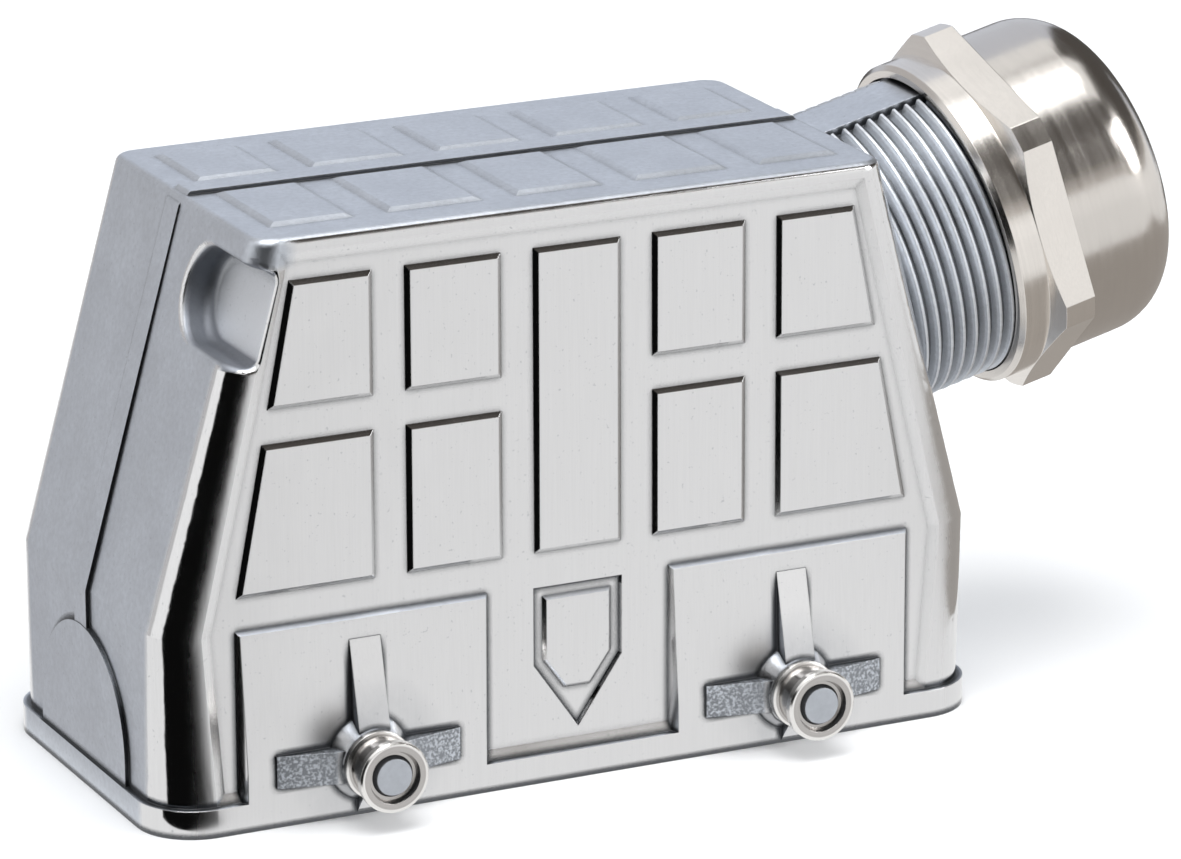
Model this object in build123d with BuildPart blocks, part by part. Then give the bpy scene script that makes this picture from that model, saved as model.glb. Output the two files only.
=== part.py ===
"""Cable-side hood of a heavy duty rectangular connector, size 16, with its gland and contact insert.

Millimetres, +Z up. The origin is the centre of the rim's mating face, which lies at z = 0.
+X is the connector's length, towards the cable outlet, and -Y is the front long side.
"""
import os
from math import atan, cos, degrees, radians, sin, sqrt, tan

from build123d import *

os.makedirs("parts", exist_ok=True)

# Hood casting: outline
body_length = 92.0
rim_width = 43.0
rim_lip = 0.75
rim_height = 3.0
rim_corner = 6.25
side_inset = 0.8
back_draft = 2.4
bend_height = 20.9
end_slope = 15.5
hood_height = 61.0
corner_bottom = 5.6
corner_bend = 4.4
corner_top = 2.6
top_edge_radius = 0.9

# Hood casting: hollow
skirt_end_wall = 2.8
skirt_side_wall = 3.7
mouth_corner = 3.0
wall = 3.3
cavity_corner = 2.4

# Hood casting: relief of the long sides
field_depth = 0.45
field_draft = 68
field_border = 0.6
panel_raise = 0.4
panel_draft = 52
panel_half_centre = 4.9
panel_gap = 3.5
panel_width = 10.6
panel_end_margin = 8.3
panel_end_slope = 11.0
panel_bottom = 24.4
panel_split = 41.8
panel_top_margin = 4.4
shield_half = 5.0
shield_top = 20.7
shield_shoulder = 12.3
shield_tip = 5.1
shield_depth = 0.4
shield_draft = 30
plate_margin = 1.1
plate_draft = 45
plate_shoulder = 12.7
plate_foot = 3.0
plate_tip = 9.4

# Hood casting: pads, bosses and pegs of the locking rollers
pad_inner = 10.2
pad_end_margin = 8.1
pad_top = 21.0
pad_crease = 5.9
pad_foot_inset = 0.7
pad_draft = 30
pad_lip = 0.15
peg_spacing = 48.15
peg_height = 5.95
peg_radius = 1.7
boss_radius = 4.5
boss_tip_radius = 3.5
boss_length = 2.0
rib_thickness = 3.4
rib_end_thickness = 2.6
rib_reach_up = 18.6
rib_reach_side = 10.1
rib_end_rise = 0.25
rib_top_drop = 0.5
peened_radius = 2.2
peened_draft = 30
peened_length = 0.5

# Hood casting: top, ridge, end arch and thumb notch
land_raise = 0.35
land_draft = 66
land_front_margin = 4.4
land_front_gap = 2.1
land_back_gap = 2.6
land_back_margin = 4.1
ridge_raise = 0.4
ridge_edge = 0.3
ridge_front = 1.5
ridge_back = 1.7
arch_raise = 0.45
arch_half = 11.4
arch_spring = 5.6
arch_top = 16.9
notch_depth = 3.3
notch_height = 9.6
notch_top_margin = 2.7
notch_reach = 6.9
notch_floor_radius = 1.2
notch_rim_radius = 0.8

# Cable outlet and its gland
outlet_tilt = 14.0
outlet_drop = 15.55
thread_root_radius = 15.6
thread_crest_radius = 16.5
outlet_flat = 16.1
outlet_bore = 12.6
outlet_length = 16.0
outlet_root = 9.0
thread_clearance = 0.15
gland_clearance = 0.15
nut_start = 6.0
nut_lip = 0.5
collar_radius = 17.95
hex_start = 9.4
hex_chamfer = 0.8
hex_flats = 36.0
hex_corners = 40.0
hex_end = 13.7
hex_turn = 22.0
dome_radius = 17.65
dome_start = 20.9
dome_edge = 6.3
cable_bore = 11.0
bore_chamfer = 0.8
cage_flange = 15.2
cage_flange_thickness = 1.2
cage_wall = 1.3
cage_depth = 10.0
finger_count = 12
finger_length = 6.4
finger_slot = 1.2
finger_tip_radius = 12.6
press_ring_thickness = 1.6
press_ring_inner = 13.9
seal_wall = 2.0
seal_lip = 0.8
seal_clearance = 0.1
brush_ring_length = 4.0
brush_inner = 9.6
brush_count = 24
bristle_width = 1.4

# Contact insert
flange_end_clearance = 0.95
flange_side_clearance = 0.8
flange_thickness = 2.4
flange_corner = 2.0
insert_seat = 17.5
carrier_end_step = 8.25
carrier_side_step = 5.0
carrier_height = 15.5
shroud_wall = 1.4
shroud_end = 2.5
contact_end_margin = 6.0
contact_count = 8
contact_radius = 1.25
contact_end = 4.0
contact_clearance = 0.1
terminal_size = 5.0
terminal_height = 11.0
wire_radius = 1.5
wire_depth = 8.0
terminal_screw_drop = 5.5
terminal_screw_radius = 1.5
terminal_screw_length = 3.4
screwdriver_radius = 1.9
fixing_margin = 3.5
fixing_radius = 2.0
fixing_head_radius = 3.4
fixing_head_height = 2.4
fixing_engagement = 8.0
fixing_post = 12.0
fixing_post_size = 9.0
washer_thickness = 0.8
washer_radius = 3.5
earth_end_margin = 4.25
earth_width = 13.0
earth_thickness = 1.0
earth_leg = 7.0
earth_drop = 7.0
earth_clamp_size = 7.4
earth_clamp_height = 2.5
earth_screw_radius = 1.75
earth_head_radius = 2.4
earth_head_height = 2.0
earth_screw_length = 7.0
slot_width = 0.9
slot_depth = 1.0

# Locking rollers
roller_gap = 0.05
roller_start = 0.1
roller_base_radius = 3.6
roller_base = 0.6
roller_neck_radius = 3.1
roller_flange_radius = 3.75
roller_flange = 0.9
roller_length = 4.65
roller_countersink = 2.55
roller_countersink_depth = 0.75
roller_edge = 0.2

# Worked out from the sizes above: hood
rim_length = body_length + 2 * rim_lip
front_face = rim_width / 2 - side_inset
back_face = front_face
mouth_length = body_length - 2 * skirt_end_wall
mouth_width = rim_width - 2 * skirt_side_wall
panel_outer_half = body_length / 2 - panel_end_margin
panel_top = hood_height - panel_top_margin
pad_outer = body_length / 2 - pad_end_margin
notch_top = hood_height - notch_top_margin
notch_bottom = notch_top - notch_height
outlet_station = body_length / 2
outlet_height = hood_height - outlet_drop
end_run = tan(radians(end_slope))
back_run = tan(radians(back_draft))
panel_end_run = tan(radians(panel_end_slope))

# Worked out from the sizes above: contact insert
flange_length = mouth_length - 2 * flange_end_clearance
flange_width = mouth_width - 2 * flange_side_clearance
carrier_length = flange_length - 2 * carrier_end_step
carrier_width = flange_width - 2 * carrier_side_step
contact_pitch = (carrier_length - 2 * contact_end_margin) / (contact_count - 1)
contact_rows = carrier_width / 2
terminal_top = insert_seat + carrier_height
terminal_screw_height = terminal_top - terminal_screw_drop
fixing_length = flange_length - 2 * fixing_margin
fixing_width = flange_width - 2 * fixing_margin
earth_spacing = flange_length - 2 * earth_end_margin


def back_at(z):
    """Y of the back long side at a height."""
    return back_face - z * back_run


def half_length_at(z):
    """Half the body's length at a height."""
    return body_length / 2 - max(0, z - bend_height) * end_run


def corner_at(z):
    """Corner radius of the body at a height."""
    if z < bend_height:
        return corner_bottom + (corner_bend - corner_bottom) * z / bend_height
    share = (z - bend_height) / (hood_height - bend_height)
    return corner_bend + (corner_top - corner_bend) * share


def shell_section(z, length, front, back, corner):
    """Rounded rectangle of the hood at a height."""
    plane = Plane(origin=(0, (back - front) / 2, z))
    with BuildSketch(plane) as section:
        RectangleRounded(length, front + back, corner)
    return section.sketch


front_plane = Plane(origin=(0, -front_face, 0), x_dir=(1, 0, 0), z_dir=(0, -1, 0))
back_plane = Plane(
    origin=(0, back_face, 0),
    x_dir=(-1, 0, 0),
    z_dir=(0, cos(radians(back_draft)), sin(radians(back_draft))),
)
outlet_plane = Plane(
    origin=(outlet_station, 0, outlet_height),
    x_dir=(0, 1, 0),
    z_dir=(cos(radians(outlet_tilt)), 0, sin(radians(outlet_tilt))),
)


def outlet_section(start=0.0):
    """Plane through the outlet's axis: local x is the radius, local y runs along the axis."""
    return Plane(
        origin=outlet_plane.origin + outlet_plane.z_dir * start,
        x_dir=outlet_plane.x_dir,
        z_dir=outlet_plane.x_dir.cross(outlet_plane.z_dir),
    )


outlet_axis = Axis(outlet_plane.origin, outlet_plane.z_dir)

# Body shell: straight skirt up to the bend, then ends that lean in to the top
with BuildPart() as outer:
    sections = [
        shell_section(z, 2 * half_length_at(z), front_face, back_at(z), corner_at(z))
        for z in (0, bend_height, hood_height)
    ]
    loft(sections=sections, ruled=True)
    fillet(outer.edges().group_by(Axis.Z)[-1], top_edge_radius)
    with BuildSketch():
        RectangleRounded(rim_length, rim_width, rim_corner)
    extrude(amount=rim_height)

with BuildPart() as hollow:
    cavity_top = hood_height - wall
    cavity_sections = [shell_section(0, mouth_length, mouth_width / 2, mouth_width / 2, mouth_corner)]
    cavity_sections.append(
        shell_section(bend_height, mouth_length, mouth_width / 2, mouth_width / 2, mouth_corner)
    )
    cavity_sections.append(
        shell_section(
            cavity_top,
            2 * (half_length_at(cavity_top) - wall),
            min(mouth_width / 2, front_face - wall),
            min(mouth_width / 2, back_at(cavity_top) - wall),
            cavity_corner,
        )
    )
    loft(sections=cavity_sections, ruled=True)
    fillet(hollow.edges().group_by(Axis.Z)[-1], cavity_corner / 2)


def columns():
    """Inner and outer half widths of the relief's columns, from the middle outwards."""
    inner = panel_half_centre + panel_gap
    middle = inner + panel_width
    return inner, middle, middle + panel_gap


def panel_outlines():
    """Corner points of the nine raised panels on one long side."""
    inner, middle, outer_start = columns()
    centre = [
        (-panel_half_centre, panel_bottom), (panel_half_centre, panel_bottom),
        (panel_half_centre, panel_top), (-panel_half_centre, panel_top),
    ]
    outlines = [centre]
    half_gap = panel_gap / 2
    for low, high in ((panel_bottom, panel_split - half_gap), (panel_split + half_gap, panel_top)):
        edge_low = panel_outer_half - panel_end_run * (low - panel_bottom)
        edge_high = panel_outer_half - panel_end_run * (high - panel_bottom)
        for side in (-1, 1):
            start, end, outside = side * inner, side * middle, side * outer_start
            outlines.append([(start, low), (end, low), (end, high), (start, high)])
            outlines.append([
                (outside, low), (side * edge_low, low), (side * edge_high, high), (outside, high),
            ])
    return outlines


def field_outline():
    """Recessed field of a long side, inside its thin proud border."""
    inset_bottom = corner_at(rim_height) + field_border / 2
    inset_top = corner_at(hood_height) + field_border / 2
    low = half_length_at(rim_height) - inset_bottom
    bend = half_length_at(bend_height) - corner_bend
    high_z = hood_height - top_edge_radius - field_border
    high = half_length_at(high_z) - inset_top
    return [
        (-low, rim_height), (low, rim_height), (bend, bend_height), (high, high_z),
        (-high, high_z), (-bend, bend_height),
    ]


def shield_outline():
    """Shield with a pointed foot."""
    return [
        (-shield_half, shield_top), (shield_half, shield_top), (shield_half, shield_shoulder),
        (0, shield_tip), (-shield_half, shield_shoulder),
    ]


def plate_outline():
    """Blank plate inside the shield."""
    half = shield_half - plate_margin
    top = shield_top - plate_margin
    foot = plate_foot / 2
    return [
        (-half, top), (half, top), (half, plate_shoulder),
        (foot, plate_tip), (-foot, plate_tip), (-half, plate_shoulder),
    ]


def anticlockwise(points):
    """The same outline, run anticlockwise."""
    turns = zip(points, points[1:] + points[:1])
    area = sum(x0 * y1 - x1 * y0 for (x0, y0), (x1, y1) in turns)
    return points if area > 0 else points[::-1]


def raised(plane, outlines, height, draft):
    """Blocks with drafted sides on a plane, one for each outline."""
    with BuildPart() as blocks:
        for outline in outlines:
            with BuildSketch(plane) as foot:
                with BuildLine():
                    Polyline(*anticlockwise(outline), close=True)
                make_face()
            extrude(foot.sketch, amount=height, taper=draft)
    return blocks.part


def sunk(plane, outline, depth, draft):
    """Block with drafted sides that a shallow recess removes."""
    with BuildPart() as block:
        with BuildSketch(plane) as mouth:
            with BuildLine():
                Polyline(*anticlockwise(outline), close=True)
            make_face()
        extrude(mouth.sketch, amount=-depth, taper=draft)
    return block.part


def pin_pads(plane, out):
    """Two proud pads that carry the locking pegs and run down into the rim."""
    rim_lead = rim_width / 2 - front_face
    behind = plane.origin.Y - out * wall / 2
    rim_y = out * rim_width / 2
    top_y = plane.from_local_coords((0, pad_top)).Y + out * pad_lip
    with BuildPart() as pads:
        for side in (-1, 1):
            inner, outer_end = side * pad_inner, side * pad_outer
            with BuildSketch(plane.offset(-field_depth)) as foot:
                with BuildLine():
                    corners = [(inner, 0), (outer_end, 0), (outer_end, pad_top), (inner, pad_top)]
                    Polyline(*anticlockwise(corners), close=True)
                make_face()
            extrude(foot.sketch, amount=field_depth + rim_lead + pad_lip, taper=pad_draft)
            with BuildSketch(plane.offset(-field_depth)) as lower:
                with Locations(((inner + outer_end) / 2, pad_crease / 2)):
                    Rectangle(pad_outer - pad_inner - 2 * pad_foot_inset, pad_crease)
            extrude(lower.sketch, amount=field_depth + rim_lead)
        with BuildSketch(Plane.YZ.offset(-pad_outer)) as wedge:
            with BuildLine():
                Polyline(
                    (behind, 0), (rim_y, 0), (rim_y, pad_crease), (top_y, pad_top), (behind, pad_top),
                    close=True,
                )
            make_face()
        extrude(wedge.sketch, amount=2 * pad_outer, mode=Mode.INTERSECT)
    return pads.part


def bosses(out):
    """Peg bosses of one long side with their ribs and cast pegs; out is the side's sign along Y."""
    side_plane = Plane(origin=(0, out * rim_width / 2, 0), x_dir=(1, 0, 0), z_dir=(0, out, 0))
    boss_taper = degrees(atan((boss_radius - boss_tip_radius) / boss_length))
    shoulder = boss_length + roller_start + roller_length - roller_countersink_depth
    foot = out * (rim_width / 2 - boss_length)
    high = out * (rim_width / 2 + boss_length - rib_end_rise)
    low = out * (rim_width / 2 + rib_end_rise)
    top = out * (rim_width / 2 - rib_top_drop)
    rim_y = out * rim_width / 2
    with BuildPart() as group:
        for side in (-1, 1):
            centre = side * peg_spacing / 2
            face = Plane(
                origin=side_plane.origin + Vector(centre, 0, peg_height),
                x_dir=side_plane.x_dir, z_dir=side_plane.z_dir,
            )
            with BuildSketch(face) as root:
                Circle(boss_radius)
            extrude(root.sketch, amount=-boss_length)
            extrude(root.sketch, amount=boss_length, taper=boss_taper)
            with BuildSketch(face) as stem:
                Circle(peg_radius)
            extrude(stem.sketch, amount=shoulder)
            with BuildSketch(face.offset(shoulder + roller_gap)) as head:
                Circle(peened_radius)
            extrude(head.sketch, amount=peened_length, taper=peened_draft)
            extrude(head.sketch, amount=-roller_gap)
            with BuildSketch(Plane.YZ.offset(centre - rib_thickness / 2)) as upright:
                with BuildLine():
                    Polyline(
                        (foot, peg_height), (high, peg_height), (high, peg_height + boss_tip_radius),
                        (top, rib_reach_up), (foot, rib_reach_up), close=True,
                    )
                make_face()
            extrude(upright.sketch, amount=rib_thickness)
            with BuildSketch(Plane.YZ.offset(centre - rib_end_thickness / 2)) as down:
                with BuildLine():
                    Polyline(
                        (foot, peg_height), (high, peg_height), (high, peg_height - boss_tip_radius),
                        (rim_y, rib_end_rise), (foot, rib_end_rise), close=True,
                    )
                make_face()
            extrude(down.sketch, amount=rib_end_thickness)
            for hand in (-1, 1):
                far = centre + hand * rib_reach_side
                near = centre + hand * boss_tip_radius
                with BuildSketch(Plane.XY.offset(peg_height - rib_thickness / 2)) as arm:
                    with BuildLine():
                        Polyline(
                            (centre, foot), (centre, high), (near, high), (far, low), (far, foot),
                            close=True,
                        )
                    make_face()
                extrude(arm.sketch, amount=rib_thickness)
    return group.part


def lands():
    """Raised lands on the top, five on each half, in line with the columns of the long sides."""
    inner, middle, outer_start = columns()
    outer_end = half_length_at(hood_height) - corner_top - field_border
    spans = [(-panel_half_centre, panel_half_centre)]
    for side in (-1, 1):
        spans.append((side * inner, side * middle))
        spans.append((side * outer_start, side * outer_end))
    back_edge = back_at(hood_height) - land_back_margin
    rows = [(land_front_margin - front_face, -land_front_gap), (land_back_gap, back_edge)]
    return [
        [(left, near), (right, near), (right, far), (left, far)]
        for left, right in spans for near, far in rows
    ]


top_plane = Plane.XY.offset(hood_height)
ridge_left = half_length_at(hood_height)
ridge_profile = [
    (-body_length / 2 - ridge_raise, rim_height),
    (-body_length / 2 - ridge_raise, bend_height),
    (-ridge_left - ridge_raise, hood_height - top_edge_radius),
    (-ridge_left + top_edge_radius, hood_height + ridge_raise),
    (ridge_left - top_edge_radius, hood_height + ridge_raise),
    (ridge_left + ridge_raise, hood_height - top_edge_radius),
    (body_length / 2 + ridge_raise, bend_height),
    (body_length / 2 + ridge_raise, rim_height),
    (body_length / 2 - wall / 2, rim_height),
    (body_length / 2 - wall / 2, bend_height),
    (ridge_left - wall / 2, hood_height - wall / 2),
    (-ridge_left + wall / 2, hood_height - wall / 2),
    (-body_length / 2 + wall / 2, bend_height),
    (-body_length / 2 + wall / 2, rim_height),
]

with BuildPart() as ridge:
    with BuildSketch(Plane.XZ.offset(ridge_front)):
        with BuildLine():
            Polyline(*ridge_profile, close=True)
        make_face()
    extrude(amount=-ridge_front - ridge_back)
    cross_edges = ridge.edges().filter_by(Axis.Y).group_by(Axis.Z)
    fillet(cross_edges[-1] + cross_edges[-2], ridge_edge)

with BuildPart() as arches:
    for side in (-1, 1):
        end = Plane(origin=(side * body_length / 2, 0, 0), x_dir=(0, 1, 0), z_dir=(1, 0, 0))
        with BuildSketch(end) as arch:
            with BuildLine():
                Line((-arch_half, 0), (arch_half, 0))
                Line((arch_half, 0), (arch_half, arch_spring))
                ThreePointArc((arch_half, arch_spring), (0, arch_top), (-arch_half, arch_spring))
                Line((-arch_half, arch_spring), (-arch_half, 0))
            make_face()
        extrude(arch.sketch, amount=side * arch_raise)

# Thumb notch in the front left corner, its floor parallel to the leaning end
end_normal = Vector(-cos(radians(end_slope)), 0, sin(radians(end_slope)))
notch_middle = (notch_bottom + notch_top) / 2
end_plane = Plane(
    origin=(-half_length_at(notch_middle), 0, notch_middle),
    x_dir=(0, -1, 0),
    z_dir=end_normal,
)
notch_half = (notch_top - notch_bottom) / 2 / cos(radians(end_slope))
with BuildPart() as notch:
    with BuildSketch(end_plane.offset(wall)) as mouth:
        with Locations((notch_reach + notch_half, 0)):
            Circle(notch_half)
        with Locations((notch_reach + notch_half + front_face / 2, 0)):
            Rectangle(front_face, 2 * notch_half)
    extrude(mouth.sketch, amount=-wall - notch_depth)
    fillet(notch.faces().sort_by(Axis((0, 0, 0), tuple(end_normal)))[0].edges(), notch_floor_radius)

# The notch's own wall keeps the hood closed behind it
with BuildPart() as notch_wall:
    with BuildSketch(end_plane):
        with Locations((notch_reach + notch_half, 0)):
            Circle(notch_half + wall / 2)
        with Locations((notch_reach + notch_half + front_face / 2, 0)):
            Rectangle(front_face, 2 * notch_half + wall)
    extrude(amount=-wall / 2 - notch_depth)

# Posts for the four fixing screws of the insert
with BuildPart() as posts:
    with BuildSketch(Plane.XY.offset(insert_seat)):
        with GridLocations(fixing_length, fixing_width, 2, 2):
            Rectangle(fixing_post_size, fixing_post_size)
    extrude(amount=fixing_post)
    with BuildSketch(Plane.XY.offset(insert_seat)):
        with GridLocations(fixing_length, fixing_width, 2, 2):
            Circle(fixing_radius)
    extrude(amount=fixing_engagement, mode=Mode.SUBTRACT)

# Threaded outlet, thread root and the two flats where the casting die parts
with BuildPart() as outlet:
    with BuildSketch(outlet_plane.offset(-outlet_root)):
        Circle(thread_root_radius)
    extrude(amount=outlet_root + outlet_length)
    flat_half = sqrt(thread_crest_radius ** 2 - outlet_flat ** 2)
    with BuildSketch(outlet_plane.offset(-outlet_root)):
        Rectangle(2 * flat_half, 2 * outlet_flat)
    extrude(amount=outlet_root + outlet_length)

with BuildPart() as outlet_hole:
    with BuildSketch(outlet_plane.offset(-outlet_root - wall)):
        Circle(outlet_bore)
    extrude(amount=outlet_root + wall + outlet_length)

# Closed outside form; the notch's rim is rounded, as on the casting
with BuildPart() as skin:
    add(outer.part)
    add(arches.part)
    add(ridge.part)
    add(raised(top_plane, lands(), land_raise, land_draft))
    add(outlet.part)
    whole = skin.part
    add(notch.part, mode=Mode.SUBTRACT)
    fillet(new_edges(whole, notch.part, combined=skin.part), notch_rim_radius)

with BuildPart() as casting:
    add(skin.part)
    for plane, out in ((front_plane, -1), (back_plane, 1)):
        add(sunk(plane, field_outline(), field_depth, field_draft), mode=Mode.SUBTRACT)
        field = plane.offset(-field_depth)
        add(raised(field, panel_outlines(), panel_raise, panel_draft))
        add(sunk(field, shield_outline(), shield_depth, shield_draft), mode=Mode.SUBTRACT)
        add(raised(field.offset(-shield_depth), [plate_outline()], shield_depth, plate_draft))
        add(pin_pads(plane, out))
        add(bosses(out))
    closed = casting.part
    add(hollow.part, mode=Mode.SUBTRACT)
    add(notch_wall.part & closed)
    add(posts.part & outer.part)
    add(outlet_hole.part, mode=Mode.SUBTRACT)
casting.part.label = "hood"
export_step(casting.part, "parts/hood.step")


def turned(name, profile, start=0.0):
    """Turned gland piece from its half section, radius first and distance along the outlet second."""
    with BuildPart() as piece:
        with BuildSketch(outlet_section(start)):
            with BuildLine():
                Polyline(*profile, close=True)
            make_face()
        revolve(axis=outlet_axis)
    piece.part.label = name
    return piece.part


# Gland cap nut: collar, hexagon milled on a turned flange, and a domed cap
thread_bore = thread_crest_radius + thread_clearance
cage_end = outlet_length + cage_flange_thickness
nut_shoulder = cage_end + 2 * gland_clearance + press_ring_thickness
finger_base_radius = press_ring_inner - gland_clearance
finger_end = cage_end + finger_length
dome_end = dome_start + dome_edge
with BuildPart() as cap_nut:
    with BuildSketch(outlet_section()):
        with BuildLine():
            Polyline(
                (thread_bore, nut_shoulder), (thread_bore, nut_start), (collar_radius - nut_lip, nut_start),
                (collar_radius, nut_start + nut_lip), (collar_radius, hex_end), (dome_radius, hex_end),
                (dome_radius, dome_start),
            )
            RadiusArc((dome_radius, dome_start), (dome_radius - dome_edge, dome_end), -dome_edge)
            Polyline(
                (dome_radius - dome_edge, dome_end), (cable_bore + bore_chamfer / 4, dome_end),
                (cable_bore, dome_end - bore_chamfer), (cable_bore, finger_end + 2 * bore_chamfer),
                (finger_tip_radius + gland_clearance, finger_end + gland_clearance),
                (finger_base_radius + 2 * gland_clearance, nut_shoulder), (thread_bore, nut_shoulder),
            )
        make_face()
    revolve(axis=outlet_axis)

with BuildPart() as hexagon:
    with BuildSketch(outlet_section()):
        with BuildLine():
            Polyline(
                (thread_bore + nut_lip, hex_start), (collar_radius, hex_start),
                (hex_corners / 2, hex_start + hex_chamfer), (hex_corners / 2, hex_end),
                (thread_bore + nut_lip, hex_end), close=True,
            )
        make_face()
    revolve(axis=outlet_axis)
    with BuildSketch(outlet_plane):
        RegularPolygon(hex_flats / 2, 6, major_radius=False, rotation=hex_turn)
    extrude(amount=dome_start, mode=Mode.INTERSECT)

with BuildPart() as nut_body:
    add(cap_nut.part)
    add(hexagon.part)
nut_body.part.label = "gland_cap_nut"
export_step(nut_body.part, "parts/gland_cap_nut.step")

# Clamping cage: sleeve in the outlet, flange on its end and slotted fingers under the cap
cage_outer = outlet_bore - gland_clearance
cage_inner = cage_outer - cage_wall
with BuildPart() as cage:
    with BuildSketch(outlet_section()):
        with BuildLine():
            Polyline(
                (cage_inner, outlet_length - cage_depth), (cage_outer, outlet_length - cage_depth),
                (cage_outer, outlet_length), (cage_flange, outlet_length), (cage_flange, cage_end),
                (finger_base_radius, cage_end), (finger_tip_radius, finger_end), (cage_inner, finger_end),
                close=True,
            )
        make_face()
    revolve(axis=outlet_axis)
    with BuildSketch(outlet_plane.offset(cage_end + finger_slot)):
        with PolarLocations(finger_tip_radius, finger_count):
            Rectangle(2 * (finger_tip_radius - cage_inner) + finger_slot, finger_slot)
    extrude(amount=finger_length, mode=Mode.SUBTRACT)
cage.part.label = "clamping_cage"
export_step(cage.part, "parts/clamping_cage.step")

ring_start = cage_end + gland_clearance
press_ring = turned(
    "press_ring",
    [
        (press_ring_inner, 0), (thread_crest_radius, 0), (thread_crest_radius, press_ring_thickness),
        (press_ring_inner, press_ring_thickness),
    ],
    ring_start,
)
export_step(press_ring, "parts/press_ring.step")

seal_outer = cage_inner - seal_clearance
seal_start = outlet_length - cage_depth - seal_lip
sealing_sleeve = turned(
    "sealing_sleeve",
    [
        (seal_outer - seal_wall, seal_start), (cage_outer, seal_start), (cage_outer, seal_start + seal_lip),
        (seal_outer, seal_start + seal_lip), (seal_outer, finger_end), (seal_outer - seal_wall, finger_end),
    ],
)
export_step(sealing_sleeve, "parts/sealing_sleeve.step")

# Shield contact ring: bristles point inwards to the cable's braid
with BuildPart() as shield_ring:
    with BuildSketch(outlet_plane.offset(seal_start - brush_ring_length)):
        Circle(cage_outer)
        Circle(cage_inner, mode=Mode.SUBTRACT)
    extrude(amount=brush_ring_length)
    with BuildSketch(outlet_plane.offset(seal_start - brush_ring_length / 2)):
        with PolarLocations((cage_outer + brush_inner) / 2, brush_count):
            Rectangle(cage_outer - brush_inner - cage_wall / 2, bristle_width)
    extrude(amount=brush_ring_length / 4)
shield_ring.part.label = "shield_contact_ring"
export_step(shield_ring.part, "parts/shield_contact_ring.step")


def roller(name, side, out):
    """Locking roller on its peg: base flange, neck and outer flange with a countersink."""
    start = rim_width / 2 + boss_length + roller_start
    middle = (side * peg_spacing / 2, out * start, peg_height)
    section = Plane(origin=middle, x_dir=(1, 0, 0), z_dir=(0, 0, out))
    bore = peg_radius + roller_gap
    with BuildPart() as piece:
        with BuildSketch(section):
            with BuildLine():
                Polyline(
                    (bore, 0), (roller_base_radius, 0), (roller_base_radius, roller_base),
                    (roller_neck_radius, roller_base + roller_edge),
                    (roller_neck_radius, roller_length - roller_flange - roller_edge),
                    (roller_flange_radius, roller_length - roller_flange),
                    (roller_flange_radius, roller_length - roller_edge),
                    (roller_flange_radius - roller_edge, roller_length),
                    (roller_countersink + roller_edge, roller_length),
                    (roller_countersink, roller_length - roller_countersink_depth),
                    (bore, roller_length - roller_countersink_depth), close=True,
                )
            make_face()
        revolve(axis=Axis(section.origin, section.y_dir))
    piece.part.label = name
    return piece.part


for side, hand in ((-1, "left"), (1, "right")):
    for out, row in ((-1, "front"), (1, "back")):
        name = f"roller_{row}_{hand}"
        export_step(roller(name, side, out), f"parts/{name}.step")

# Contact insert: pin-side carrier with its flange and shroud
with BuildPart() as carrier_front:
    with BuildSketch(Plane.XY.offset(insert_seat)):
        RectangleRounded(flange_length, flange_width, flange_corner)
    extrude(amount=-flange_thickness)
    with BuildSketch(Plane.XY.offset(insert_seat - flange_thickness)):
        Rectangle(carrier_length, carrier_width)
    extrude(amount=shroud_end - insert_seat + flange_thickness)
    with BuildSketch(Plane.XY.offset(shroud_end)):
        Rectangle(carrier_length - 2 * shroud_wall, carrier_width - 2 * shroud_wall)
    extrude(amount=insert_seat - 2 * flange_thickness - shroud_end, mode=Mode.SUBTRACT)
    with BuildSketch(Plane.XY.offset(insert_seat)):
        with GridLocations(contact_pitch, contact_rows, contact_count, 2):
            Circle(contact_radius + contact_clearance)
        with GridLocations(fixing_length, fixing_width, 2, 2):
            Circle(fixing_radius + contact_clearance)
        with GridLocations(earth_spacing, 1, 2, 1):
            Circle(earth_screw_radius + contact_clearance)
    extrude(amount=-2 * flange_thickness, mode=Mode.SUBTRACT)
carrier_front.part.label = "contact_carrier_front"
export_step(carrier_front.part, "parts/contact_carrier_front.step")

# Rear carrier: one pocket for each terminal and a screwdriver hole through the side
pocket = terminal_size + 2 * contact_clearance
terminal_start = terminal_top - contact_clearance - terminal_height
with BuildPart() as carrier_rear:
    with BuildSketch(Plane.XY.offset(insert_seat)):
        RectangleRounded(carrier_length, carrier_width, flange_corner / 2)
    extrude(amount=terminal_top - insert_seat)
    with BuildSketch(Plane.XY.offset(terminal_start)):
        with GridLocations(contact_pitch, contact_rows, contact_count, 2):
            Rectangle(pocket, pocket)
    extrude(amount=terminal_top - terminal_start, mode=Mode.SUBTRACT)
    with BuildSketch(Plane.XY.offset(insert_seat)):
        with GridLocations(contact_pitch, contact_rows, contact_count, 2):
            Circle(contact_radius + contact_clearance)
    extrude(amount=terminal_start - insert_seat, mode=Mode.SUBTRACT)
    with BuildSketch(Plane.XZ.offset(-carrier_width / 2)):
        with Locations((0, terminal_screw_height)):
            with GridLocations(contact_pitch, 1, contact_count, 1):
                Circle(screwdriver_radius)
    side_wall = (carrier_width - contact_rows - pocket) / 2
    extrude(amount=side_wall, mode=Mode.SUBTRACT)
    with BuildSketch(Plane.XZ.offset(carrier_width / 2)):
        with Locations((0, terminal_screw_height)):
            with GridLocations(contact_pitch, 1, contact_count, 1):
                Circle(screwdriver_radius)
    extrude(amount=-side_wall, mode=Mode.SUBTRACT)
carrier_rear.part.label = "contact_carrier_rear"
export_step(carrier_rear.part, "parts/contact_carrier_rear.step")

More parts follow.
